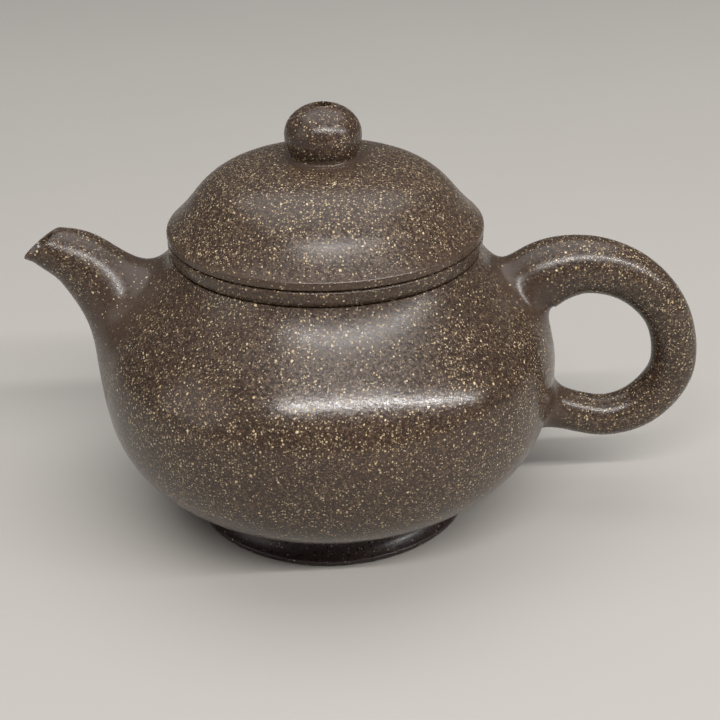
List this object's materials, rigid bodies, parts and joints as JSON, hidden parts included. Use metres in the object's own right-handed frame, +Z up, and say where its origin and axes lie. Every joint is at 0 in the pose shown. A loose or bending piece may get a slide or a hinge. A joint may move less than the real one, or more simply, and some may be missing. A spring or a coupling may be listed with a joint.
{
  "type": "clay teapot",
  "caption": "Round unglazed clay teapot with a short curved spout, a round ear handle, a flared foot and a lift-off domed lid with a ball knob.",
  "frame": {"origin": "on the pot's axis, at the level of the surface that the foot stands on", "axes": "+Z up along the axis of the pot and lid, -X towards the spout, +X towards the handle, -Y towards the viewer's side"},
  "size_m": [0.1601, 0.1084, 0.1003],
  "materials": {
    "body_clay": "unglazed, fine sandy grain with a satin sheen",
    "lid_clay": "unglazed, fine sandy grain with a satin sheen",
    "foot_clay": "unglazed, fine sandy grain with a satin sheen",
    "inner_clay": "unglazed, fine sandy grain with a satin sheen"
  },
  "bodies": {
    "pot": {"lower_wall": "body_clay", "upper_wall": "body_clay", "base_disc": "inner_clay", "mouth_disc": "inner_clay", "mouth_ring": "body_clay", "foot_ring": "foot_clay", "spout": "body_clay", "strainer": "inner_clay", "handle": "body_clay"},
    "lid": {"lid_dome": "lid_clay", "lid_brim": "lid_clay", "lid_flange": "inner_clay", "knob": "lid_clay"}
  },
  "joints": [
    {"name": "lid_lift", "type": "slide", "parent": "pot", "child": "lid", "axis": [0, 0, 1], "range_m": [0, 0.08]}
  ]
}
